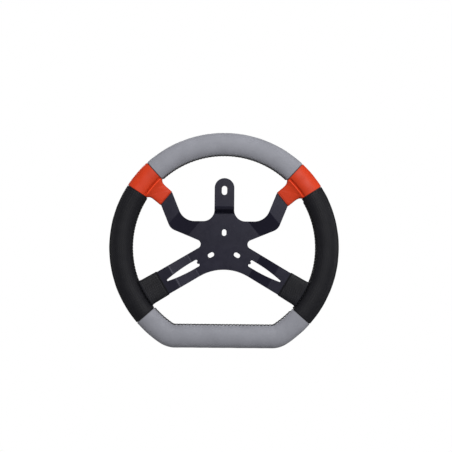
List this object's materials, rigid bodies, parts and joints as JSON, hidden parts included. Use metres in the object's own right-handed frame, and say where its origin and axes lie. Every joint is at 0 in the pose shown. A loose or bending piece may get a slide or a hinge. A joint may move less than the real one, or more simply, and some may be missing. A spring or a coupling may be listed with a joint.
{
  "type": "kart steering wheel",
  "caption": "Flat-bottomed kart steering wheel: dished aluminium spoke plate with slotted hub and display tab, in a hooped foam rim with sewn grey, orange and black covers.",
  "frame": {"origin": "centre of the three hub slots, on the rear face of the hub", "axes": "+X to the driver's right, +Z to twelve o'clock, +Y forward along the steering column, so the driver sits towards -Y"},
  "size_m": [0.32, 0.028, 0.2996],
  "materials": {
    "plate": "satin",
    "steel": "satin",
    "rivet": "satin",
    "foam": "matt",
    "grey_cover": "matt",
    "orange_cover": "satin",
    "black_cover": "satin",
    "thread": "matt"
  },
  "bodies": {
    "root": {"spoke_plate": "plate", "hoop_arc": "steel", "hoop_bottom": "steel", "hoop_lug_upper_left": "steel", "hoop_lug_upper_right": "steel", "hoop_lug_lower_left": "steel", "hoop_lug_lower_right": "steel", "lug_rivets": "rivet", "rim_foam": "foam", "wrap_top": "grey_cover", "wrap_bottom": "grey_cover", "wrap_upper_left": "orange_cover", "wrap_upper_right": "orange_cover", "sleeve_upper_left": "orange_cover", "sleeve_upper_right": "orange_cover", "wrap_side_left": "black_cover", "wrap_side_right": "black_cover", "sleeve_lower_left": "black_cover", "sleeve_lower_right": "black_cover", "stitch_top": "thread", "stitch_upper_left": "thread", "stitch_upper_right": "thread", "stitch_side_left": "thread", "stitch_side_right": "thread", "stitch_bottom": "thread", "stitch_sleeve_upper_left": "thread", "stitch_sleeve_upper_right": "thread", "stitch_sleeve_lower_left": "thread", "stitch_sleeve_lower_right": "thread"}
  },
  "joints": []
}
